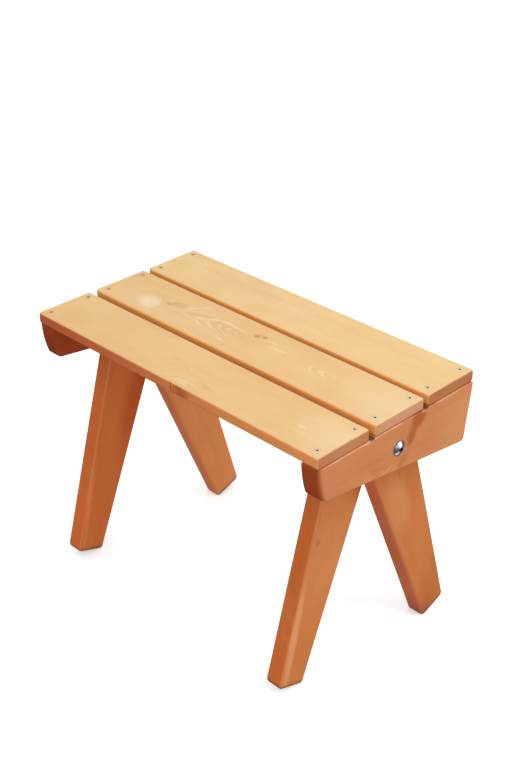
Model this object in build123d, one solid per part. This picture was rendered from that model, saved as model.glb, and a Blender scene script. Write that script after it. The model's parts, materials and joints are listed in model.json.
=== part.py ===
from build123d import *
import math
import os

# Folding bench in three slats, on two end rails and four scissor legs. Millimetres.
# Origin on the ground under the middle of the seat; +X along the slats, +Z up.
# The front is -Y, the left end is -X and the right end is +X.

# Seat
SEAT_LENGTH = 556.0
SEAT_HEIGHT = 418.0
SLAT_WIDTH = 95.0
SLAT_THICKNESS = 18.0
FRONT_GAP = 12.0
BACK_GAP = 9.5
SLAT_EDGE_ROUND = 4.0
SLAT_END_ROUND = 3.0

# End rails, tapered from a deep back end to a shallow front end with a curved nose
RAIL_THICKNESS = 29.0
RAIL_PROUD_OF_SLATS = 1.0
RAIL_FRONT_HEIGHT = 50.7
RAIL_BACK_HEIGHT = 89.0
RAIL_BACK_LEAN = 8.5
RAIL_NOSE_RADIUS = 143.0
RAIL_NOSE_ROUND = 9.0
RAIL_FRONT_CORNER = 8.5
RAIL_BACK_CORNER = 5.5
RAIL_TOP_CORNER = 3.5
RAIL_EDGE_ROUND = 1.2
NOSE_CUTTER_SWEEP = 30.0

# Legs, each cut from one tapered board
LEG_THICKNESS = 28.0
LEG_HEAD_WIDTH = 97.0
LEG_SPLAY = 19.15
LEG_HEAD_ABOVE_PIVOT = 38.0
LEG_CENTRE_OFFSET = 13.6
LEG_TAPER = 0.0564
LEG_CORNER = 6.0
LEG_OUTER_TOE_CORNER = 8.0
LEG_INNER_TOE_CORNER = 6.0
LEG_EDGE_ROUND = 4.5

# Pivots
PIVOT_BELOW_SEAT = 55.0
FACE_GAP = 0.4
STOP_GAP = 0.3
BOLT_RADIUS = 4.0
BOLT_HEAD_RADIUS = 10.2
BOLT_HEAD_HEIGHT = 5.4
BOLT_HEAD_RIM = 1.6
BOLT_HEAD_SEAT_RADIUS = 11.4
BOLT_HEAD_SINK = 1.0
BOLT_SOCKET_FLATS = 6.0
BOLT_SOCKET_DEPTH = 2.6
BOLT_TIP_BEYOND_NUT = 2.0
BOLT_TIP_CHAMFER = 1.0
RUNNING_CLEARANCE = 0.06
FIXED_CLEARANCE = 0.02

# Washer and locking nut on the inner side of each pair of legs
WASHER_RADIUS = 12.0
WASHER_THICKNESS = 2.0
NUT_FLATS = 13.0
NUT_HEIGHT = 6.5
COLLAR_HEIGHT = 2.5
COLLAR_RADIUS = 5.8
COLLAR_WALL = 0.8

# Countersunk wood screws, two through each slat into each rail
SCREW_SPREAD = 34.0
SCREW_RADIUS = 2.0
SCREW_HEAD_RADIUS = 3.9
SCREW_HEAD_DEPTH = 2.4
SCREW_HEAD_SINK = 0.3
SCREW_LENGTH = 45.0
SCREW_POINT = 5.0
RECESS_CORE_RADIUS = 1.45
RECESS_LOBES = 6
RECESS_LOBE_RADIUS = 0.5
RECESS_DEPTH = 1.8

# Places worked out from the sizes above
SEAT_WIDTH = 3 * SLAT_WIDTH + FRONT_GAP + BACK_GAP
FRONT_EDGE = -SEAT_WIDTH / 2
SLAT_CENTRES = {
    "front": FRONT_EDGE + SLAT_WIDTH / 2,
    "middle": FRONT_EDGE + SLAT_WIDTH * 1.5 + FRONT_GAP,
    "back": -FRONT_EDGE - SLAT_WIDTH / 2,
}
SLAT_UNDERSIDE = SEAT_HEIGHT - SLAT_THICKNESS
PIVOT_HEIGHT = SEAT_HEIGHT - PIVOT_BELOW_SEAT
RAIL_OUTER = SEAT_LENGTH / 2 + RAIL_PROUD_OF_SLATS
RAIL_INNER = RAIL_OUTER - RAIL_THICKNESS
RAIL_MIDDLE = RAIL_OUTER - RAIL_THICKNESS / 2
BOLT_HEAD_FACE = RAIL_OUTER - BOLT_HEAD_SINK
OUTER_LEG_FACE = RAIL_INNER - FACE_GAP
INNER_LEG_FACE = OUTER_LEG_FACE - LEG_THICKNESS - FACE_GAP
WASHER_FACE = INNER_LEG_FACE - LEG_THICKNESS - FACE_GAP
NUT_FACE = WASHER_FACE - WASHER_THICKNESS
COLLAR_FACE = NUT_FACE - NUT_HEIGHT
BOLT_TIP = COLLAR_FACE - COLLAR_HEIGHT - BOLT_TIP_BEYOND_NUT
ENDS = {"left": -1, "right": 1}
SIDES = {"front": -1, "back": 1}


def across(outline, face_x, depth):
    """Solid from an outline in Y and Z, from the face at face_x towards -X by depth."""
    return extrude(Plane.YZ.offset(face_x) * outline, depth, dir=(-1, 0, 0))


def rod(radius, from_x, to_x, y=0.0, z=PIVOT_HEIGHT):
    """Solid cylinder along X between two places."""
    disc = Plane.YZ.offset(from_x) * Pos(y, z) * Circle(radius)
    return extrude(disc, to_x - from_x)


def to_end(shape, end):
    """The right end's shape as it stands at the named end: a half turn about Z for the left."""
    return shape if ENDS[end] > 0 else Rot(0, 0, 180) * shape


def mirrored_to_end(shape, end):
    """The right end's shape as it stands at the named end: a mirror image for the left."""
    return shape if ENDS[end] > 0 else mirror(shape, about=Plane.YZ)


def screw_places(slat):
    """Y of each screw in a slat."""
    return [SLAT_CENTRES[slat] - SCREW_SPREAD, SLAT_CENTRES[slat] + SCREW_SPREAD]


def screw_hole():
    """Clearance for one screw, with its axis on Z and its head's top at the origin."""
    shank = Pos(0, 0, -SCREW_LENGTH / 2) * Cylinder(SCREW_RADIUS + FIXED_CLEARANCE, SCREW_LENGTH)
    sink = Pos(0, 0, -SCREW_HEAD_DEPTH / 2) * Cone(
        SCREW_RADIUS + FIXED_CLEARANCE, SCREW_HEAD_RADIUS + FIXED_CLEARANCE, SCREW_HEAD_DEPTH
    )
    mouth = Pos(0, 0, SCREW_HEAD_SINK) * Cylinder(
        SCREW_HEAD_RADIUS + FIXED_CLEARANCE, 2 * SCREW_HEAD_SINK
    )
    return shank + sink + mouth


def slat(name):
    """One seat board, planed round along its length and eased at its ends, with four screw holes."""
    section = RectangleRounded(SLAT_WIDTH, SLAT_THICKNESS, SLAT_EDGE_ROUND)
    board = across(section, SEAT_LENGTH / 2, SEAT_LENGTH)
    board = fillet(board.faces().filter_by(Axis.X).edges(), SLAT_END_ROUND)
    board = Pos(0, SLAT_CENTRES[name], SLAT_UNDERSIDE + SLAT_THICKNESS / 2) * board
    for x in (-RAIL_MIDDLE, RAIL_MIDDLE):
        for y in screw_places(name):
            board -= Pos(x, y, SEAT_HEIGHT - SCREW_HEAD_SINK) * screw_hole()
    return board


def rail_outline():
    """Outline of an end rail, as Y and Z: flat top, sloping bottom, straight back and round nose."""
    nose_middle = FRONT_EDGE + RAIL_NOSE_RADIUS
    nose_reach = math.sqrt(RAIL_NOSE_RADIUS**2 - RAIL_FRONT_HEIGHT**2)
    back_set = RAIL_BACK_HEIGHT * math.tan(math.radians(RAIL_BACK_LEAN))
    front_top = (FRONT_EDGE, SLAT_UNDERSIDE)
    front_bottom = (nose_middle - nose_reach, SLAT_UNDERSIDE - RAIL_FRONT_HEIGHT)
    back_bottom = (-FRONT_EDGE - back_set, SLAT_UNDERSIDE - RAIL_BACK_HEIGHT)
    back_top = (-FRONT_EDGE, SLAT_UNDERSIDE)
    edges = Polyline(front_bottom, back_bottom, back_top, front_top)
    edges += RadiusArc(front_top, front_bottom, -RAIL_NOSE_RADIUS)
    outline = make_face(edges)
    for place, radius in (
        (front_bottom, RAIL_FRONT_CORNER),
        (back_bottom, RAIL_BACK_CORNER),
        (back_top, RAIL_TOP_CORNER),
    ):
        corner = outline.vertices().sort_by_distance(place)[0]
        outline = fillet(corner, radius)
    return outline


def nose_cutter():
    """What is planed off the outer edge of a rail's nose: a round of RAIL_NOSE_ROUND along its arc."""
    inset_x = RAIL_OUTER - RAIL_NOSE_ROUND
    inset_y = FRONT_EDGE + RAIL_NOSE_ROUND
    waste = Pos(inset_x, inset_y) * Rectangle(
        RAIL_NOSE_ROUND + 1, RAIL_NOSE_ROUND + 1, align=(Align.MIN, Align.MAX)
    )
    waste -= Pos(inset_x, inset_y) * Circle(RAIL_NOSE_ROUND)
    nose_axis = Axis((0, FRONT_EDGE + RAIL_NOSE_RADIUS, SLAT_UNDERSIDE), (1, 0, 0))
    return revolve(Pos(0, 0, SLAT_UNDERSIDE) * waste, nose_axis, NOSE_CUTTER_SWEEP)


def rail(end):
    """End rail under the slats, with its sunk bolt hole and the holes that the screws cut."""
    board = across(rail_outline(), RAIL_OUTER, RAIL_THICKNESS)
    board = fillet(board.faces().filter_by(Axis.X).edges(), RAIL_EDGE_ROUND)
    board -= nose_cutter()
    board -= rod(BOLT_RADIUS + FIXED_CLEARANCE, RAIL_INNER - 1, RAIL_OUTER + 1)
    board -= rod(BOLT_HEAD_SEAT_RADIUS, BOLT_HEAD_FACE, RAIL_OUTER + 1)
    for name in SLAT_CENTRES:
        for y in screw_places(name):
            board -= Pos(RAIL_MIDDLE, y, SEAT_HEIGHT - SCREW_HEAD_SINK) * screw_hole()
    return mirrored_to_end(board, end)


def foot_from_pivot():
    """Distance along the leg from pivot to sawn foot that puts its rounded corner on the ground."""
    splay = math.radians(LEG_SPLAY)
    inner_edge = LEG_CENTRE_OFFSET - LEG_HEAD_WIDTH / 2 + LEG_TAPER * LEG_HEAD_ABOVE_PIVOT
    corner_inset = LEG_INNER_TOE_CORNER * math.hypot(1, LEG_TAPER)
    fall = math.cos(splay) - LEG_TAPER * math.sin(splay)
    rise = PIVOT_HEIGHT - LEG_INNER_TOE_CORNER + (inner_edge + corner_inset) * math.sin(splay)
    return rise / fall + LEG_INNER_TOE_CORNER


def leg_outline():
    """Outline of a back leg about its pivot, as Y and Z: flat stop on top, round heel in front."""
    foot = foot_from_pivot()
    blank_head = 2 * LEG_HEAD_ABOVE_PIVOT
    head_half = LEG_HEAD_WIDTH / 2 + LEG_TAPER * (blank_head - LEG_HEAD_ABOVE_PIVOT)
    foot_half = LEG_HEAD_WIDTH / 2 - LEG_TAPER * (foot + LEG_HEAD_ABOVE_PIVOT)
    blank = Polygon(
        (LEG_CENTRE_OFFSET - head_half, blank_head),
        (LEG_CENTRE_OFFSET + head_half, blank_head),
        (LEG_CENTRE_OFFSET + foot_half, -foot),
        (LEG_CENTRE_OFFSET - foot_half, -foot),
        align=None,
    )
    blank = Rot(0, 0, LEG_SPLAY) * blank
    stop = PIVOT_BELOW_SEAT - SLAT_THICKNESS - STOP_GAP
    blank -= Pos(0, stop) * Rectangle(
        2 * LEG_HEAD_WIDTH, blank_head, align=(Align.CENTER, Align.MIN)
    )
    heel = Rectangle(LEG_HEAD_WIDTH, blank_head, align=(Align.MAX, Align.MIN))
    blank -= heel - Circle(stop)
    heel_corner, _, stop_corner, inner_toe, outer_toe = blank.vertices().sort_by(Axis.X)
    blank = fillet([heel_corner, stop_corner], LEG_CORNER)
    inner_toe, outer_toe = blank.vertices().sort_by(Axis.Y)[:2].sort_by(Axis.X)
    blank = fillet(outer_toe, LEG_OUTER_TOE_CORNER)
    inner_toe = blank.vertices().sort_by(Axis.Y)[0]
    return fillet(inner_toe, LEG_INNER_TOE_CORNER)


def leg(end, side):
    """One leg: at the right end the back leg runs beside the rail and the front leg inside it."""
    right_side = SIDES[side] * ENDS[end]
    outline = leg_outline()
    face = OUTER_LEG_FACE if right_side > 0 else INNER_LEG_FACE
    if right_side < 0:
        outline = mirror(outline, about=Plane.YZ)
    board = across(Pos(0, PIVOT_HEIGHT) * outline, face, LEG_THICKNESS)
    board = fillet(board.faces().filter_by(Axis.X).edges(), LEG_EDGE_ROUND)
    board -= rod(BOLT_RADIUS + RUNNING_CLEARANCE, face - LEG_THICKNESS - 1, face + 1)
    return to_end(board, end)


def pivot_bolt(end):
    """Furniture bolt: low domed head with a hexagon socket, plain shank, chamfered tip."""
    dome = BOLT_HEAD_HEIGHT - BOLT_HEAD_RIM
    dome_radius = (BOLT_HEAD_RADIUS**2 + dome**2) / (2 * dome)
    crown = (0, BOLT_HEAD_HEIGHT)
    rim = (BOLT_HEAD_RADIUS, BOLT_HEAD_RIM)
    outline = Polyline(crown, (0, 0), (BOLT_HEAD_RADIUS, 0), rim)
    outline += RadiusArc(rim, crown, -dome_radius)
    head = revolve(Plane.XZ * make_face(outline), Axis.Z)
    head = Pos(BOLT_HEAD_FACE, 0, PIVOT_HEIGHT) * Rot(0, 90, 0) * head
    socket = RegularPolygon(BOLT_SOCKET_FLATS / 2, 6, major_radius=False, rotation=30)
    socket_top = BOLT_HEAD_FACE + BOLT_HEAD_HEIGHT + 1
    head -= across(Pos(0, PIVOT_HEIGHT) * socket, socket_top, BOLT_SOCKET_DEPTH + 1)
    shank = rod(BOLT_RADIUS, BOLT_HEAD_FACE, BOLT_TIP)
    shank = chamfer(shank.faces().sort_by(Axis.X)[0].edges(), BOLT_TIP_CHAMFER)
    return to_end(head + shank, end)


def washer(end):
    """Plain washer between the inner leg and the nut."""
    disc = rod(WASHER_RADIUS, NUT_FACE, WASHER_FACE)
    return to_end(disc - rod(BOLT_RADIUS + FIXED_CLEARANCE, NUT_FACE, WASHER_FACE), end)


def nut(end):
    """Hexagon nut with its corners turned down, and the thin collar that holds the insert."""
    hexagon = RegularPolygon(NUT_FLATS / 2, 6, major_radius=False)
    body = across(Pos(0, PIVOT_HEIGHT) * hexagon, NUT_FACE, NUT_HEIGHT)
    turned = rod(NUT_FLATS / math.sqrt(3), NUT_FACE, COLLAR_FACE)
    body &= chamfer(turned.edges().filter_by(GeomType.CIRCLE), NUT_FLATS * (1 / math.sqrt(3) - 0.5))
    body += rod(COLLAR_RADIUS, COLLAR_FACE, COLLAR_FACE - COLLAR_HEIGHT)
    body -= rod(BOLT_RADIUS + FIXED_CLEARANCE, NUT_FACE, BOLT_TIP)
    pocket = COLLAR_RADIUS - COLLAR_WALL
    body -= rod(pocket, COLLAR_FACE, BOLT_TIP)
    return to_end(body, end)


def nut_insert(end):
    """Nylon ring inside the nut's collar, which grips the bolt."""
    ring = rod(COLLAR_RADIUS - COLLAR_WALL - FIXED_CLEARANCE, COLLAR_FACE, COLLAR_FACE - COLLAR_HEIGHT)
    return to_end(ring - rod(BOLT_RADIUS + FIXED_CLEARANCE, COLLAR_FACE, BOLT_TIP), end)


def screw():
    """Countersunk wood screw with a six-lobe recess, its head's top at the origin."""
    head = Pos(0, 0, -SCREW_HEAD_DEPTH / 2) * Cone(SCREW_RADIUS, SCREW_HEAD_RADIUS, SCREW_HEAD_DEPTH)
    straight = SCREW_LENGTH - SCREW_POINT
    shank = Pos(0, 0, -straight / 2) * Cylinder(SCREW_RADIUS, straight)
    point = Pos(0, 0, -straight - SCREW_POINT / 2) * Cone(0, SCREW_RADIUS, SCREW_POINT)
    recess = Circle(RECESS_CORE_RADIUS)
    for place in PolarLocations(RECESS_CORE_RADIUS, RECESS_LOBES):
        recess += place * Circle(RECESS_LOBE_RADIUS)
    return head + shank + point - extrude(recess, -RECESS_DEPTH)


def screw_pair(name, end):
    """The two screws that hold one slat to one rail."""
    x = ENDS[end] * RAIL_MIDDLE
    top = SEAT_HEIGHT - SCREW_HEAD_SINK
    return Compound([Pos(x, y, top) * screw() for y in screw_places(name)])


def build():
    """Every sub-part by name."""
    parts = {}
    for name in SLAT_CENTRES:
        parts[f"slat_{name}"] = slat(name)
    for end in ENDS:
        parts[f"end_rail_{end}"] = rail(end)
        for side in SIDES:
            parts[f"leg_{end}_{side}"] = leg(end, side)
        parts[f"pivot_bolt_{end}"] = pivot_bolt(end)
        parts[f"pivot_washer_{end}"] = washer(end)
        parts[f"pivot_nut_{end}"] = nut(end)
        parts[f"nut_insert_{end}"] = nut_insert(end)
        for name in SLAT_CENTRES:
            parts[f"screws_{name}_{end}"] = screw_pair(name, end)
    return parts


os.makedirs("parts", exist_ok=True)
for node, shape in build().items():
    export_step(shape, f"parts/{node}.step")
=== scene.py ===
import json
import math
from dataclasses import dataclass

import bpy
from mathutils import Euler, Matrix, Vector


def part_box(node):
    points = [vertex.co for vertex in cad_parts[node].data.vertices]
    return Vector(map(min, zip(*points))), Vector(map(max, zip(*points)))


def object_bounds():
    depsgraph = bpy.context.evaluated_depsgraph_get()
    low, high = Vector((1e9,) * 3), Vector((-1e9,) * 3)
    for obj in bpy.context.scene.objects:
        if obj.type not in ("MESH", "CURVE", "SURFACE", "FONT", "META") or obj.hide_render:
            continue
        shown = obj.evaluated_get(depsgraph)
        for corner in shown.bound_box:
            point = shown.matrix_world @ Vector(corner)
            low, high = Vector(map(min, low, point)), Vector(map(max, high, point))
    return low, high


# Folding slatted bench of oiled pine with zinc-plated fasteners, on a white floor in a white room.
# Lengths are in metres. The front is -Y, the left end is -X and the right end is +X.

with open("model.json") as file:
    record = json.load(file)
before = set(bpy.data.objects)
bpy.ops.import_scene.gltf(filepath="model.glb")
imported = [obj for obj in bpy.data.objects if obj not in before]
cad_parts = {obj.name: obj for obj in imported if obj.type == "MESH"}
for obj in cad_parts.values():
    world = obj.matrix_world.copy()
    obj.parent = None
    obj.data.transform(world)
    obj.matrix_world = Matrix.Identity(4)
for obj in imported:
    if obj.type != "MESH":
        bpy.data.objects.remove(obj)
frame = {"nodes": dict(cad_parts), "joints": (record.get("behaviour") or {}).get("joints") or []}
CAD_LOW, CAD_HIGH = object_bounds()
CENTRE = (CAD_LOW + CAD_HIGH) / 2
SEAT_TOP = CAD_HIGH.z
PIVOT_HEIGHT = frame["joints"][0]["pos_m"][2]
MM = 0.001

# Camera
AIM = Vector((CENTRE.x + 0.015, CENTRE.y + 0.002, SEAT_TOP - 0.067))
AZIMUTH, ELEVATION, ROLL = 45.60, 30.08, -0.63
DISTANCE = 1.88
LENS = 62.2
SENSOR = 36.0

# Legs lean away from upright by this many degrees when they are open
LEG_SPLAY = 19.15

# Colours are linear RGB. Pine under honey-coloured oil.
SLAT_TONES = {"early": (0.85, 0.590, 0.285), "late": (0.71, 0.41, 0.145), "knot": (0.36, 0.16, 0.055)}
RAIL_TONES = {"early": (0.72, 0.280, 0.108), "late": (0.58, 0.190, 0.060), "knot": (0.30, 0.085, 0.025)}
LEG_TONES = {"early": (0.74, 0.232, 0.058), "late": (0.58, 0.150, 0.031), "knot": (0.30, 0.085, 0.020)}
CREAM = (0.90, 0.66, 0.42)
PALE = (0.97, 0.76, 0.47)
NEAR_END_SHEEN = (0.86, 0.68, 0.42)
# Painted sheen for the near end of the slat tops
BALD = (0.92, 0.68, 0.46)
UMBER = (0.50, 0.235, 0.075)
# Black for a crack in a slat's edge, and painted shade in the gaps between the slats over a rail
CRACK_AND_GAP_SHADE = (0.10, 0.035, 0.015)
FLAME = (0.46, 0.110, 0.024)
HONEY = (0.76, 0.36, 0.135)
FOOT_DARK_BAND = (0.12, 0.035, 0.022)
FOOT_DARK_RED = (0.36, 0.07, 0.04)
# Lightening for rubbed arrises and the light strips along the legs' rounded edges: partly wear, partly
# painted sheen
WORN_AND_SHEEN_ORANGE = (0.90, 0.42, 0.18)
WORN_AND_SHEEN_RED = (0.86, 0.33, 0.10)
UNDER_SEAT_SHADE_RED = (0.54, 0.090, 0.012)
# Painted shade down in the sockets and recesses of the fasteners; the oiled screws take a darker oil
# colour there
SOCKET_SHADE = (0.03, 0.025, 0.02)
OIL_AND_RECESS_SHADE = (0.52, 0.30, 0.11)
ZINC = (0.54, 0.59, 0.70)
YELLOWED_ZINC = (0.95, 0.82, 0.62)
OILED_ZINC = (0.86, 0.60, 0.30)
CLOUDED = (0.80, 0.88, 1.00)

# Pine. A year's growth as (part of the year, how dark the wood is), from spring to winter.
YEAR = ((0.0, 0.02), (0.38, 0.10), (0.72, 0.52), (0.90, 1.0), (0.965, 0.75), (1.0, 0.02))
KNOT_STRETCH = 2.4
SWIRL_REACH = 2.2
EDGE_TINT_REACH = 0.28

# How much each feature shows in the pine's colour
RING_CONTRAST = 0.12
FIGURE_CONTRAST = 0.6
FIGURE_PALENESS = 0.9
FIBRE_CONTRAST = 0.20
STREAK_CONTRAST = 0.26
MOTTLE_CONTRAST = 0.95
GRAIN_LEVEL = 0.22
PORE_CONTRAST = 0.20

# Room: brightness by height, from straight down to straight up, and a dark blue opening
ROOM_LEVELS = ((0.0, 0.08), (0.47, 0.16), (0.50, 0.70), (0.54, 0.94), (1.0, 0.78))
OPENING_TOWARDS = (0.30, 0.94, -0.16)
OPENING_BLUE = (0.05, 0.08, 0.16)
FLOOR_REACH = 90.0


@dataclass
class Knot:
    """A branch in a board, running through it from face to face or across it from edge to edge.

    swirl is how many rings it pushes aside, and dark is how much darker it is than the wood.
    """
    place: tuple
    radius: float
    runs: str = "through"
    swirl: float = 3.0
    dark: float = 1.0


@dataclass
class Mark:
    """A soft oval right through a board: a patch, a streak, a fleck, a crack, a painted highlight or a
    painted shade.

    size holds its half-lengths along and across the grain, and turn is in degrees.
    """
    place: tuple
    size: tuple
    turn: float
    colour: tuple
    strength: float
    fade: float = 0.7


@dataclass
class Board:
    """How one board was sawn, and what it carries.

    Its own axes are the grain, its width and its thickness. The pith is the tree's centre line, at
    that width and thickness from the board's middle, and drift is its slope along the grain. The edge
    tint, the far-edge tint, the end tint and the inner-face tint colour the edges, the edges at the
    start of the grain, the sawn ends and the face turned to the middle of the object: the end tint is
    deeper oil, the edge tint is partly deeper oil and partly painted light and shade, and the far-edge
    and inner-face tints are painted light and shade. The rings show most in the figure's ovals, and
    the worn colour lightens its rounded arrises, partly as rubbed wear and partly as painted highlight.
    """
    middle: Vector
    turn: Euler
    pith: tuple
    drift: tuple
    ring: float
    seed: float
    tones: dict
    edge: tuple
    end: tuple
    knots: tuple = ()
    marks: tuple = ()
    figure: tuple = ()
    far_edge: tuple = None
    wear: float = 0.12
    worn: tuple = CREAM
    sheltered: tuple = None


class Value:
    """A socket in a node tree. Arithmetic on it adds nodes."""

    def __init__(self, graph, socket):
        self.graph = graph
        self.socket = socket

    def __add__(self, other):
        return self.graph.math("ADD", self, other)

    def __sub__(self, other):
        return self.graph.math("SUBTRACT", self, other)

    def __mul__(self, other):
        return self.graph.math("MULTIPLY", self, other)

    def __truediv__(self, other):
        return self.graph.math("DIVIDE", self, other)


class Graph:
    """A material's or world's node tree, and short names for adding nodes to it."""

    def __init__(self, owner):
        owner.use_nodes = True
        self.owner = owner
        self.tree = owner.node_tree
        self.tree.nodes.clear()

    def node(self, kind, **settings):
        node = self.tree.nodes.new(kind)
        for key, value in settings.items():
            setattr(node, key, value)
        return node

    def feed(self, socket, value):
        if isinstance(value, Value):
            self.tree.links.new(value.socket, socket)
        elif socket.type == "RGBA":
            socket.default_value = (*value, 1.0)
        else:
            socket.default_value = value

    def math(self, operation, *values, clamp=False):
        node = self.node("ShaderNodeMath", operation=operation, use_clamp=clamp)
        for socket, value in zip(node.inputs, values):
            self.feed(socket, value)
        return Value(self, node.outputs[0])

    def vector(self, operation, *values):
        node = self.node("ShaderNodeVectorMath", operation=operation)
        for socket, value in zip(node.inputs, values):
            self.feed(socket, value)
        measured = operation in ("LENGTH", "DOT_PRODUCT")
        return Value(self, node.outputs["Value" if measured else "Vector"])

    def join(self, x, y, z):
        node = self.node("ShaderNodeCombineXYZ")
        for socket, value in zip(node.inputs, (x, y, z)):
            self.feed(socket, value)
        return Value(self, node.outputs[0])

    def split(self, vector):
        node = self.node("ShaderNodeSeparateXYZ")
        self.feed(node.inputs[0], vector)
        return [Value(self, socket) for socket in node.outputs]

    def coordinate(self, name):
        return Value(self, self.node("ShaderNodeTexCoord").outputs[name])

    def inside_frame(self, vector, middle, turn, size=(1.0, 1.0, 1.0)):
        """The vector as seen from a frame with that middle, turn and size."""
        node = self.node("ShaderNodeMapping", vector_type="TEXTURE")
        node.inputs["Location"].default_value = middle
        node.inputs["Rotation"].default_value = turn
        node.inputs["Scale"].default_value = size
        self.feed(node.inputs["Vector"], vector)
        return Value(self, node.outputs[0])

    def noise(self, place, along, across, detail=2.0, roughness=0.5, output="Fac"):
        """Noise with that many features to the metre along and across the grain, about 0.5."""
        node = self.node("ShaderNodeTexNoise")
        self.feed(node.inputs["Vector"], self.vector("MULTIPLY", place, (along, across, across)))
        node.inputs["Scale"].default_value = 1.0
        node.inputs["Detail"].default_value = detail
        node.inputs["Roughness"].default_value = roughness
        return Value(self, node.outputs[output])

    def smooth(self, value, low, high):
        """0 below low and 1 above high, or the other way round, with a smooth step between."""
        node = self.node("ShaderNodeMapRange", interpolation_type="SMOOTHSTEP")
        self.feed(node.inputs["Value"], value)
        ends = (low, high, 0.0, 1.0) if low < high else (high, low, 1.0, 0.0)
        for name, end in zip(("From Min", "From Max", "To Min", "To Max"), ends):
            node.inputs[name].default_value = end
        return Value(self, node.outputs["Result"])

    def ramp(self, value, stops):
        """Piecewise linear map from value to the grey level at each stop."""
        node = self.node("ShaderNodeValToRGB")
        elements = node.color_ramp.elements
        while len(elements) < len(stops):
            elements.new(0.5)
        for element, (position, level) in zip(elements, stops):
            element.position = position
            element.color = (level, level, level, 1.0)
        self.feed(node.inputs["Fac"], value)
        return Value(self, node.outputs["Color"])

    def mix(self, factor, first, second, blend="MIX"):
        node = self.node("ShaderNodeMix", data_type="RGBA", blend_type=blend)
        factor_socket, first_socket, second_socket = (
            socket for socket in node.inputs if socket.enabled
        )
        self.feed(factor_socket, factor)
        self.feed(first_socket, first)
        self.feed(second_socket, second)
        return Value(self, next(socket for socket in node.outputs if socket.enabled))

    def surface(self, colour, roughness, height, **fixed):
        """Principled shader with the given colour, roughness and bump height in metres."""
        bump = self.node("ShaderNodeBump")
        bump.inputs["Distance"].default_value = 1.0
        self.feed(bump.inputs["Height"], height)
        shader = self.node("ShaderNodeBsdfPrincipled")
        self.feed(shader.inputs["Base Color"], colour)
        self.feed(shader.inputs["Roughness"], roughness)
        self.tree.links.new(bump.outputs["Normal"], shader.inputs["Normal"])
        for name, value in fixed.items():
            shader.inputs[name.replace("_", " ")].default_value = value
        output = self.node("ShaderNodeOutputMaterial")
        self.tree.links.new(shader.outputs[0], output.inputs["Surface"])
        return self.owner


def knot_distance(g, place, knot):
    """Distance from a knot's axis, and the same squeezed along the grain for the swirl round it."""
    offset = g.vector("SUBTRACT", place, knot.place)
    keep = {"through": (1, 1, 0), "across": (1, 0, 1)}[knot.runs]
    near = g.vector("LENGTH", g.vector("MULTIPLY", offset, keep))
    squeezed = (keep[0] / KNOT_STRETCH, keep[1], keep[2])
    return near, g.vector("LENGTH", g.vector("MULTIPLY", offset, squeezed))


def mark_cover(g, place, mark):
    """1 in the middle of a mark, fading to 0 at its rim. It runs right through the board."""
    through = 1000.0
    turn = (0.0, 0.0, math.radians(mark.turn))
    local = g.inside_frame(place, (*mark.place, 0.0), turn, (*mark.size, through))
    return g.smooth(g.vector("LENGTH", local), 1.0, 1.0 - mark.fade)


def growth_rings(g, place, seeded, board):
    """Latewood from 0 to 1 on the tree's yearly rings, which bend round each knot, and the knots."""
    x, y, z = g.split(place)
    broad, fine = g.noise(seeded, 2.2, 9) - 0.5, g.noise(seeded, 13, 46) - 0.5
    wander = broad * (16 * MM) + fine * (3 * MM)
    from_pith = g.join(
        0.0, y - x * board.drift[0] - board.pith[0], z - x * board.drift[1] - board.pith[1]
    )
    radius = g.vector("LENGTH", from_pith) + wander
    heart = rim = 0.0
    for knot in board.knots:
        near, squeezed = knot_distance(g, place, knot)
        ragged = near + (g.noise(seeded, 160, 160) - 0.5) * (knot.radius * 0.5)
        reached = g.math("POWER", squeezed / (knot.radius * SWIRL_REACH), 2.0)
        pull = g.math("POWER", math.e, reached * -1.0)
        radius = radius - pull * (board.ring * knot.swirl)
        inside = g.smooth(ragged, knot.radius * 1.15, knot.radius * 0.85)
        edge = g.smooth(g.math("ABSOLUTE", ragged - knot.radius), knot.radius * 0.45, 0.0)
        heart = g.math("MAXIMUM", heart, inside * knot.dark)
        rim = g.math("MAXIMUM", rim, edge * knot.dark)
    phase = radius / board.ring
    uneven_years = g.noise(g.join(phase * 0.31, 0.0, board.seed), 1, 1) - 0.5
    year = g.math("FRACT", phase + uneven_years * 1.6)
    return g.ramp(year, YEAR), heart, rim


def facings(g, board):
    """How squarely the surface faces along, across and through the board, each from 0 to 1."""
    normal = g.coordinate("Normal")
    axes = board.turn.to_matrix().transposed()
    return [g.math("ABSOLUTE", g.vector("DOT_PRODUCT", normal, tuple(axis))) for axis in axes]


def side_stain_and_shade(g, colour, board, place, end_facing, edge_facing):
    """Tints a board's edges, the face turned to the middle, and its end grain. The end tint is oil
    sitting deepest in the end grain; the edge tint is partly deeper oil and partly painted light and
    shade; the far-edge gradient and the inner-face tint are painted light and shade.
    """
    edge = board.edge
    # Painted light and shade: the edge tint fades to the far-edge tint towards the start of the grain.
    if board.far_edge:
        along = g.split(place)[0]
        near_end = g.smooth(along, -EDGE_TINT_REACH, EDGE_TINT_REACH)
        edge = g.mix(near_end, board.far_edge, board.edge)
    # Edge tint: partly deeper oil, partly painted light and shade matched to each face.
    colour = g.mix(g.smooth(edge_facing, 0.40, 0.97), colour, edge, blend="MULTIPLY")
    # Painted shade: the face turned to the middle of the object is darkened.
    if board.sheltered:
        inwards = (-math.copysign(1.0, board.middle.x), 0.0, 0.0)
        facing_in = g.vector("DOT_PRODUCT", g.coordinate("Normal"), inwards)
        colour = g.mix(g.smooth(facing_in, 0.4, 0.95), colour, board.sheltered, blend="MULTIPLY")
    return g.mix(g.smooth(end_facing, 0.15, 0.97), colour, board.end, blend="MULTIPLY")


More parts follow.
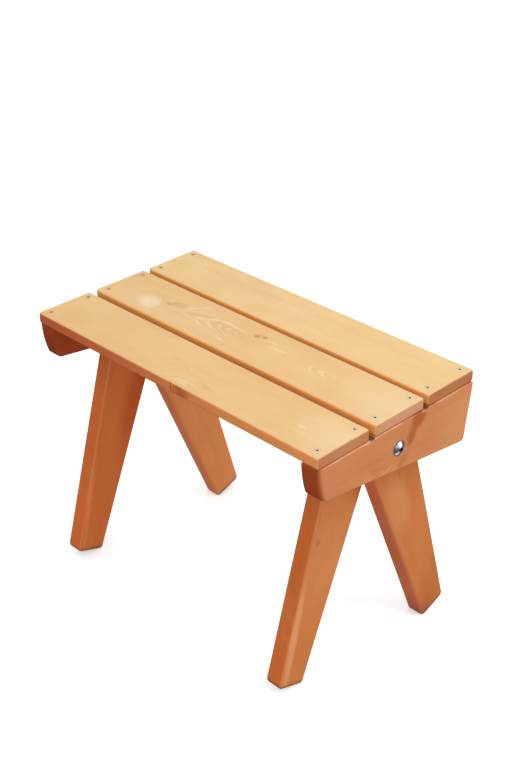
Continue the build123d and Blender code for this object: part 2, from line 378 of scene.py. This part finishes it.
def marked_colour(g, board, place, seeded, late, grain):
    """The board's early and late wood, with its figure and its marks."""
    warp = g.vector("SUBTRACT", g.noise(seeded, 60, 60, output="Color"), (0.5, 0.5, 0.5))
    ragged = g.vector("ADD", place, g.vector("MULTIPLY", warp, (5 * MM, 5 * MM, 0.0)))
    contrast = RING_CONTRAST
    for oval in board.figure:
        contrast = mark_cover(g, ragged, oval) * (oval.strength * FIGURE_CONTRAST) + contrast
    lateness = g.math("ADD", late * contrast + grain, GRAIN_LEVEL, clamp=True)
    colour = g.mix(lateness, board.tones["early"], board.tones["late"])
    for oval in board.figure:
        light_years = g.smooth(late, 0.16, 0.03) * mark_cover(g, ragged, oval)
        colour = g.mix(light_years * (oval.strength * FIGURE_PALENESS), colour, oval.colour)
    for mark in board.marks:
        colour = g.mix(mark_cover(g, ragged, mark) * mark.strength, colour, mark.colour)
    return colour


def oiled_pine(name, board):
    """Solid pine: the rings, fibres and knots run through the board, so its faces and ends agree."""
    g = Graph(bpy.data.materials.new(name))
    tones = board.tones
    place = g.inside_frame(g.coordinate("Object"), board.middle, board.turn)
    end_facing, edge_facing, face_facing = facings(g, board)
    seeded = g.vector("ADD", place, (board.seed, board.seed * 0.37, board.seed * 0.71))
    late, heart, rim = growth_rings(g, place, seeded, board)
    fibre = g.noise(seeded, 22, 900, detail=3.0, roughness=0.6)
    streak = g.noise(seeded, 5, 130, detail=2.0)
    mottle = g.noise(seeded, 9, 22, detail=3.0, roughness=0.6)
    pores = g.smooth(g.noise(seeded, 90, 1700, detail=1.0), 0.66, 0.78)

    grain = (fibre - 0.5) * FIBRE_CONTRAST + (streak - 0.5) * STREAK_CONTRAST
    grain = grain + (mottle - 0.5) * MOTTLE_CONTRAST
    colour = marked_colour(g, board, place, seeded, late, grain)
    if board.knots:
        knot_rings = g.math("SINE", rim * 9.0 + mottle * 6.0) * 0.10 + 0.62
        colour = g.mix(heart * knot_rings, colour, tones["knot"])
        colour = g.mix(rim * 0.75, colour, tones["knot"])
    colour = g.mix(pores * PORE_CONTRAST, colour, tones["late"])
    colour = side_stain_and_shade(g, colour, board, place, end_facing, edge_facing)
    # Painted highlight mixed with wear: the rounded arrises between the faces are lightened towards the
    # worn colour, as where they catch the light.
    squarest = g.math("MAXIMUM", end_facing, g.math("MAXIMUM", edge_facing, face_facing))
    arris = g.smooth(squarest, 0.93, 0.76) * g.smooth(mottle + streak, 0.70, 1.10)
    colour = g.mix(arris * board.wear, colour, board.worn)

    roughness = (fibre - 0.5) * 0.16 + (mottle - 0.5) * 0.14 - late * 0.05 + 0.46 + end_facing * 0.12
    height = late * (0.035 * MM) + (fibre - 0.5) * (0.05 * MM) - pores * (0.03 * MM)
    height = height - rim * (0.12 * MM)
    return g.surface(colour, roughness, height, Specular_IOR_Level=0.25)


def middle_of(node):
    low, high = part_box(node)
    return (low + high) / 2


def tinted(colour, tint):
    return tuple(part * shift for part, shift in zip(colour, tint))


def toned(tones, tint):
    """The tones of a paler, darker or redder board."""
    return {name: tinted(tone, tint) for name, tone in tones.items()}


def slat_board(name, tint, **sawn):
    tones = toned(SLAT_TONES, tint)
    # Slat arrises are lightened strongly: partly wear, partly painted highlight.
    return Board(middle=middle_of(name), turn=Euler((0, 0, 0)), tones=tones, wear=0.5, **sawn)


def rail_board(name, **sawn):
    """A rail's grain runs from front to back."""
    turn = Matrix(((0, 0, 1), (1, 0, 0), (0, 1, 0))).to_euler()
    return Board(middle=middle_of(name), turn=turn, **{"tones": RAIL_TONES, **sawn})


def leg_board(name, **sawn):
    """A leg's grain runs from its foot to its head, and its board's middle is taken at the bolt."""
    joint = next(joint for joint in frame["joints"] if joint["child"] == name)
    lean = math.radians(LEG_SPLAY if name.endswith("back") else -LEG_SPLAY)
    turn = Matrix(
        ((0, 0, 1), (-math.sin(lean), math.cos(lean), 0), (math.cos(lean), math.sin(lean), 0))
    ).to_euler()
    # Leg arrises are lightened: partly wear, partly painted highlight along the rounded edges.
    worn = {"wear": 0.25, "worn": WORN_AND_SHEEN_ORANGE}
    return Board(middle=Vector(joint["pos_m"]), turn=turn, **{"tones": LEG_TONES, **worn, **sawn})


def paint(node, material):
    for slot in frame["nodes"][node].material_slots:
        slot.material = material


def slats():
    # Painted sheen: the slat tops lighten towards the near end, where the light falls on them.
    near_end = Mark((0.270, 0.000), (0.110, 0.080), 0, NEAR_END_SHEEN, 0.45, fade=1.0)
    # The slats' edge tints are partly deeper oil and partly painted light and shade matched to each face;
    # the far-edge tints paint light and shade towards the far end.
    front = slat_board(
        "slat_front", tint=(0.98, 0.94, 0.88), pith=(-0.055, -0.040), drift=(0.02, 0.05), ring=0.0034,
        seed=3.1, edge=(1.09, 0.63, 0.43), far_edge=(0.77, 0.27, 0.18), end=(0.70, 0.42, 0.33),
        knots=(Knot((0.024, -0.050, -0.004), 0.009, runs="across", swirl=5.0, dark=0.35),),
        marks=(
            Mark((0.0110, -0.0475), (0.0009, 0.0040), 0, CRACK_AND_GAP_SHADE, 0.9, fade=0.4),
            Mark((0.022, -0.036), (0.016, 0.007), -8, CREAM, 0.45),
            Mark((0.055, -0.024), (0.022, 0.005), -12, UMBER, 0.22),
            Mark((-0.030, 0.000), (0.016, 0.0012), -3, UMBER, 0.30),
            Mark((0.000, -0.008), (0.018, 0.0012), -25, UMBER, 0.30),
            Mark((0.140, 0.025), (0.034, 0.0010), 3, UMBER, 0.25),
            Mark((0.220, 0.010), (0.011, 0.0016), 25, UMBER, 0.30),
            Mark((0.031, -0.050), (0.024, 0.0050), 0, FLAME, 0.8),
            Mark((0.213, -0.007), (0.012, 0.005), 0, PALE, 0.35),
            near_end,
        ),
        figure=(Mark((0.010, -0.030), (0.075, 0.030), 0, PALE, 0.16),),
    )
    middle = slat_board(
        "slat_middle", tint=(0.985, 0.95, 0.91), pith=(0.004, -0.026), drift=(0.00, 0.14), ring=0.0026,
        seed=7.7, edge=(1.17, 0.84, 0.55), far_edge=(1.17, 1.02, 0.62), end=(0.82, 0.58, 0.57),
        knots=(
            Knot((-0.175, -0.012, 0.0), 0.013, swirl=4.0, dark=0.06),
            Knot((0.004, 0.0158, 0.0), 0.0032, swirl=3.0, dark=0.65),
            Knot((0.015, 0.0198, 0.0), 0.0028, swirl=3.0, dark=0.65),
        ),
        marks=(
            Mark((-0.189, -0.018), (0.028, 0.022), -8, BALD, 0.80, fade=0.6),
            Mark((-0.181, -0.022), (0.017, 0.015), -30, BALD, 0.50, fade=0.7),
            Mark((-0.162, -0.004), (0.0100, 0.0040), -28, UMBER, 0.55, fade=0.9),
            Mark((-0.156, 0.000), (0.0090, 0.0032), 62, UMBER, 0.45, fade=0.9),
            Mark((-0.148, 0.003), (0.022, 0.012), 10, UMBER, 0.30),
            Mark((-0.126, 0.010), (0.012, 0.0036), 38, PALE, 0.55, fade=1.0),
            Mark((-0.111, 0.025), (0.012, 0.0036), 34, PALE, 0.55, fade=1.0),
            Mark((-0.095, -0.003), (0.014, 0.0038), 30, PALE, 0.60, fade=1.0),
            Mark((-0.088, -0.016), (0.014, 0.0036), -30, PALE, 0.60, fade=1.0),
            Mark((-0.078, 0.007), (0.013, 0.0036), 28, PALE, 0.55, fade=1.0),
            Mark((-0.070, -0.008), (0.014, 0.0036), -28, PALE, 0.55, fade=1.0),
            Mark((-0.057, 0.013), (0.013, 0.0036), 24, PALE, 0.50, fade=1.0),
            Mark((-0.029, -0.027), (0.014, 0.0036), -14, PALE, 0.50, fade=1.0),
            Mark((-0.036, 0.012), (0.042, 0.0040), -4, PALE, 0.50, fade=1.0),
            Mark((0.052, 0.006), (0.026, 0.0038), 3, PALE, 0.45, fade=1.0),
            Mark((0.032, 0.016), (0.014, 0.0034), 9, PALE, 0.45, fade=1.0),
            Mark((0.009, 0.018), (0.018, 0.010), 12, UMBER, 0.22),
            near_end,
        ),
        figure=(
            Mark((-0.080, 0.000), (0.080, 0.034), 0, PALE, 0.24),
            Mark((0.132, -0.006), (0.040, 0.022), 10, PALE, 0.34),
        ),
    )
    back = slat_board(
        "slat_back", tint=(1.01, 1.02, 0.99), pith=(0.150, -0.060), drift=(0.004, 0.004), ring=0.0028,
        seed=12.4, edge=(1.06, 0.78, 0.55), end=(0.60, 0.33, 0.26),
    )
    return {"slat_front": front, "slat_middle": middle, "slat_back": back}


def rails():
    right = rail_board(
        "end_rail_right", pith=(0.010, -0.045), drift=(0.02, 0.04), ring=0.0032, seed=21.3,
        # The edge tint darkens the rail's top and bottom as painted shade, mainly its top seen in the
        # gaps between the slats; the inner-face tint is painted shade under the seat.
        edge=(0.80, 0.55, 0.45), end=(0.57, 0.25, 0.08), sheltered=(0.95, 0.60, 0.48), wear=0.0,
        knots=(Knot((-0.034, -0.030, 0.0), 0.009, swirl=3.0, dark=0.0),),
        marks=(
            Mark((0.130, -0.005), (0.075, 0.070), 0, HONEY, 0.45, fade=1.0),
            Mark((0.040, 0.038), (0.026, 0.018), 50, FLAME, 0.90, fade=0.6),
            Mark((0.025, 0.014), (0.020, 0.012), 68, FLAME, 0.82, fade=0.7),
            Mark((0.008, -0.016), (0.020, 0.010), 42, FLAME, 0.50, fade=0.9),
            Mark((0.010, 0.020), (0.040, 0.022), 40, FLAME, 0.16, fade=0.9),
            # Painted highlight, partly wear: a cream line along the rail's top outer arris, where its
            # rounding catches the light.
            Mark((-0.060, 0.0440), (0.110, 0.0022), 0, CREAM, 0.55, fade=0.6),
            Mark((0.100, 0.0440), (0.040, 0.0022), 0, CREAM, 0.40, fade=0.6),
            Mark((0.051, 0.0430), (0.011, 0.0030), 0, CREAM, 0.45, fade=0.8),
            # Painted shade: black where the gaps between the slats meet the rail's top arris.
            Mark((-0.052, 0.0442), (0.0070, 0.0018), 0, CRACK_AND_GAP_SHADE, 0.85, fade=0.5),
            Mark((0.0535, 0.0442), (0.0058, 0.0018), 0, CRACK_AND_GAP_SHADE, 0.85, fade=0.5),
            Mark((-0.020, -0.016), (0.020, 0.0014), 12, PALE, 0.25),
            Mark((-0.036, -0.008), (0.022, 0.0020), -14, FLAME, 0.22),
            Mark((-0.052, 0.008), (0.030, 0.0016), -3, FLAME, 0.18),
            Mark((-0.105, 0.006), (0.024, 0.0012), 0, FLAME, 0.20),
        ),
        figure=(Mark((-0.028, -0.010), (0.045, 0.022), 0, PALE, 0.14),),
    )
    left = rail_board(
        "end_rail_left", pith=(-0.030, -0.050), drift=(0.01, -0.02), ring=0.0030, seed=26.9,
        tones=toned(RAIL_TONES, (0.84, 0.74, 0.62)),
        # The edge tint darkens the rail's top and bottom as painted shade; the inner-face tint is painted
        # shade under the seat.
        edge=(0.60, 0.35, 0.25), end=(0.64, 0.26, 0.06), sheltered=(0.93, 0.47, 0.30), wear=0.0,
    )
    return {"end_rail_right": right, "end_rail_left": left}


def legs():
    # Each leg's tone tint and edge tint are matched face by face to the light on that leg: partly the
    # board's own tone, partly painted light and shade.
    end = (0.55, 0.36, 0.26)
    # A dark band at the bottom of each foot.
    foot = Mark((-0.388, 0.0), (0.017, 0.120), 0, FOOT_DARK_BAND, 0.80, fade=0.7)
    right_front = leg_board(
        "leg_right_front", pith=(0.05, -0.03), drift=(0.01, 0.02), ring=0.0034, seed=31.5,
        edge=(0.88, 0.64, 0.47), end=end, tones=toned(LEG_TONES, (1.03, 1.12, 1.20)),
        knots=(Knot((-0.156, -0.039, 0.0), 0.0035, swirl=4.0, dark=0.45),),
        marks=(
            Mark((-0.160, -0.039), (0.014, 0.004), 0, UMBER, 0.35),
            # Painted sheen, partly wear: a light strip along the leg's rounded edge.
            Mark((-0.310, -0.0345), (0.120, 0.0085), -5.2, WORN_AND_SHEEN_ORANGE, 0.70, fade=0.6),
            Mark((-0.120, -0.0480), (0.060, 0.0030), -3.2, FLAME, 0.30, fade=0.9),
            foot,
        ),
    )
    right_back = leg_board(
        "leg_right_back", pith=(-0.04, -0.05), drift=(0.0, 0.015), ring=0.0030, seed=36.2,
        edge=(1.33, 1.05, 1.60), end=end, tones=toned(LEG_TONES, (0.96, 1.01, 1.14)),
        marks=(
            Mark((-0.084, 0.0138), (0.028, 0.0016), 0, FLAME, 0.55),
            Mark((-0.312, 0.0360), (0.040, 0.0100), 4, FLAME, 0.35),
            Mark((-0.350, 0.0100), (0.070, 0.0300), 4, FLAME, 0.25),
            # Darker red towards the bottom of this foot.
            Mark((-0.378, -0.0050), (0.045, 0.0300), 0, FOOT_DARK_RED, 0.55, fade=1.0),
            Mark((-0.130, 0.0000), (0.080, 0.0300), 0, WORN_AND_SHEEN_ORANGE, 0.25),
            foot,
        ),
    )
    left_front = leg_board(
        "leg_left_front", pith=(-0.06, 0.03), drift=(0.0, -0.012), ring=0.0032, seed=41.8,
        edge=(0.88, 0.80, 0.68), end=end, tones=toned(LEG_TONES, (1.1, 0.90, 0.85)),
        marks=(
            # Painted sheen, partly wear: a light strip along the leg's rounded edge.
            Mark((-0.310, -0.0360), (0.120, 0.0060), -5.2, WORN_AND_SHEEN_RED, 0.55, fade=0.7),
            # Painted shade: the upper part of the leg, under the seat, darkened to deep red.
            Mark((-0.120, 0.0120), (0.150, 0.0400), 0, UNDER_SEAT_SHADE_RED, 0.75, fade=0.9),
            foot,
        ),
    )
    left_back = leg_board(
        "leg_left_back", pith=(0.03, 0.06), drift=(0.01, 0.01), ring=0.0036, seed=46.6,
        edge=(1.28, 1.12, 1.40), end=end, tones=toned(LEG_TONES, (1.19, 1.34, 1.78)), marks=(foot,),
    )
    return {
        "leg_right_front": right_front,
        "leg_right_back": right_back,
        "leg_left_front": left_front,
        "leg_left_back": left_back,
    }


def paint_boards():
    for boards in (slats(), rails(), legs()):
        for name, board in boards.items():
            paint(name, oiled_pine("oiled_pine_" + name, board))


def socket_shade(g, place):
    """Painted shade: 1 down in a bolt head's socket, near the pivot's axis, and 0 on the dome round it.
    """
    x, y, z = g.split(place)
    from_axis = g.vector("LENGTH", g.join(0.0, y, z - PIVOT_HEIGHT))
    crown = CAD_HIGH.x
    sunk = g.smooth(g.math("ABSOLUTE", x), crown - 0.8 * MM, crown - 2.0 * MM)
    return sunk * g.smooth(from_axis, 3.6 * MM, 3.2 * MM)


def recess_shade(g, place):
    """Painted shade: 1 down in a screw head's recess and 0 on its top."""
    z = g.split(place)[2]
    return g.smooth(z, SEAT_TOP - 0.6 * MM, SEAT_TOP - 1.3 * MM)


def zinc(name, tone, roughness, size, shade_in, recess_colour=SOCKET_SHADE):
    """Zinc plate on a piece of that size, faintly cloudy and finely scratched, with painted shade in its
    socket or recess.
    """
    g = Graph(bpy.data.materials.new(name))
    place = g.coordinate("Object")
    cloud = g.noise(place, 1.2 / size, 1.2 / size, detail=3.0)
    scratch = g.noise(place, 9 / size, 60 / size, detail=2.0)
    colour = g.mix(cloud, tone, tinted(tone, CLOUDED))
    recess_mask = shade_in(g, place)
    colour = g.mix(recess_mask, colour, recess_colour)
    rough = (cloud - 0.5) * 0.2 + (scratch - 0.5) * 0.12 + recess_mask * 0.4 + roughness
    return g.surface(colour, rough, scratch * (0.008 * MM), Metallic=1.0)


def nylon():
    """Milky nylon, faintly mottled."""
    g = Graph(bpy.data.materials.new("natural_nylon"))
    cloud = g.noise(g.coordinate("Object"), 300, 300, detail=2.0)
    colour = g.mix(cloud, (0.80, 0.80, 0.76), (0.70, 0.70, 0.66))
    return g.surface(colour, cloud * 0.15 + 0.4, cloud * (0.02 * MM), Subsurface_Weight=0.2)


def paint_fasteners():
    bolt = zinc("zinc_plate_bolt", ZINC, 0.26, 12 * MM, socket_shade)
    screw = zinc("zinc_plate_screw", YELLOWED_ZINC, 0.45, 6 * MM, recess_shade)
    oiled = zinc("oiled_screw", OILED_ZINC, 0.60, 6 * MM, recess_shade, recess_colour=OIL_AND_RECESS_SHADE)
    ring = nylon()
    for node in frame["nodes"]:
        if node.startswith(("pivot_bolt", "pivot_washer", "pivot_nut")):
            paint(node, bolt)
        elif node.startswith("screws"):
            paint(node, oiled if node.endswith("left") else screw)
        elif node.startswith("nut_insert"):
            paint(node, ring)


def add_surround():
    """A white room, dim below the horizon, with a dark blue opening behind the object."""
    world = bpy.data.worlds.new("studio")
    g = Graph(world)
    direction = g.coordinate("Generated")
    height = g.split(direction)[2] * 0.5 + 0.5
    level = g.ramp(height, ROOM_LEVELS)
    opening = g.smooth(g.vector("DOT_PRODUCT", direction, OPENING_TOWARDS), 0.90, 0.97)
    background = g.node("ShaderNodeBackground")
    g.feed(background.inputs["Color"], g.mix(opening, level, OPENING_BLUE))
    output = g.node("ShaderNodeOutputWorld")
    g.tree.links.new(background.outputs[0], output.inputs["Surface"])
    bpy.context.scene.world = world


def add_floor():
    """White floor, faintly lit from within. It shows shadows but throws no light up at the object."""
    mesh = bpy.data.meshes.new("studio_floor")
    corners = [(x * FLOOR_REACH, y * FLOOR_REACH, 0) for x, y in ((-1, -1), (1, -1), (1, 1), (-1, 1))]
    mesh.from_pydata(corners, [], [(0, 1, 2, 3)])
    floor = bpy.data.objects.new("studio_floor", mesh)
    bpy.context.scene.collection.objects.link(floor)
    g = Graph(bpy.data.materials.new("pale_floor"))
    tooth = g.noise(g.coordinate("Object"), 40, 40, detail=3.0)
    colour = g.mix(tooth, (0.97, 0.97, 0.97), (0.95, 0.95, 0.95))
    g.surface(colour, tooth * 0.1 + 0.75, tooth * (0.02 * MM), Emission_Strength=0.37)
    mesh.materials.append(g.owner)
    floor.visible_diffuse = False
    floor.visible_glossy = False
    floor.visible_shadow = False


def add_softbox(name, place, size, power, target=CENTRE):
    """Square area light turned towards the object, or towards another target."""
    light = bpy.data.lights.new(name, "AREA")
    light.size = size
    light.energy = power
    lamp = bpy.data.objects.new(name, light)
    lamp.location = place
    lamp.rotation_euler = (target - place).to_track_quat("-Z", "Y").to_euler()
    bpy.context.scene.collection.objects.link(lamp)
    return lamp


def add_lights():
    """Three soft lights round the object, and a small one below, aimed at the bolt, that lights only
    glossy reflections.
    """
    add_softbox("light_above", CENTRE + Vector((0.9, 0.1, 1.8)), size=1.4, power=7.5)
    add_softbox("light_right", CENTRE + Vector((1.55, 0.95, 0.35)), size=1.0, power=10.0)
    add_softbox("light_front", CENTRE + Vector((0.6, -1.5, 0.4)), size=0.9, power=4.5)
    bolt = Vector((CAD_HIGH.x, 0.0, PIVOT_HEIGHT))
    below = bolt + Vector((0.17, 0.08, -0.33))
    glint = add_softbox("glint_in_bolt", below, size=0.16, power=0.12, target=bolt)
    glint.visible_diffuse = False
    glint.visible_camera = False


def add_camera():
    camera = bpy.data.cameras.new("camera")
    camera.sensor_width = SENSOR
    camera.lens = LENS
    holder = bpy.data.objects.new("camera", camera)
    azimuth, elevation, roll = (math.radians(angle) for angle in (AZIMUTH, ELEVATION, ROLL))
    turn = Matrix.Rotation(azimuth, 4, "Z") @ Matrix.Rotation(math.pi / 2 - elevation, 4, "X")
    back = turn @ Vector((0, 0, 1))
    holder.matrix_world = Matrix.Translation(AIM + back * DISTANCE) @ turn @ Matrix.Rotation(roll, 4, "Z")
    bpy.context.scene.collection.objects.link(holder)
    bpy.context.scene.camera = holder


bpy.context.scene.view_settings.view_transform = "Standard"
add_camera()
add_surround()
add_floor()
add_lights()
paint_boards()
paint_fasteners()
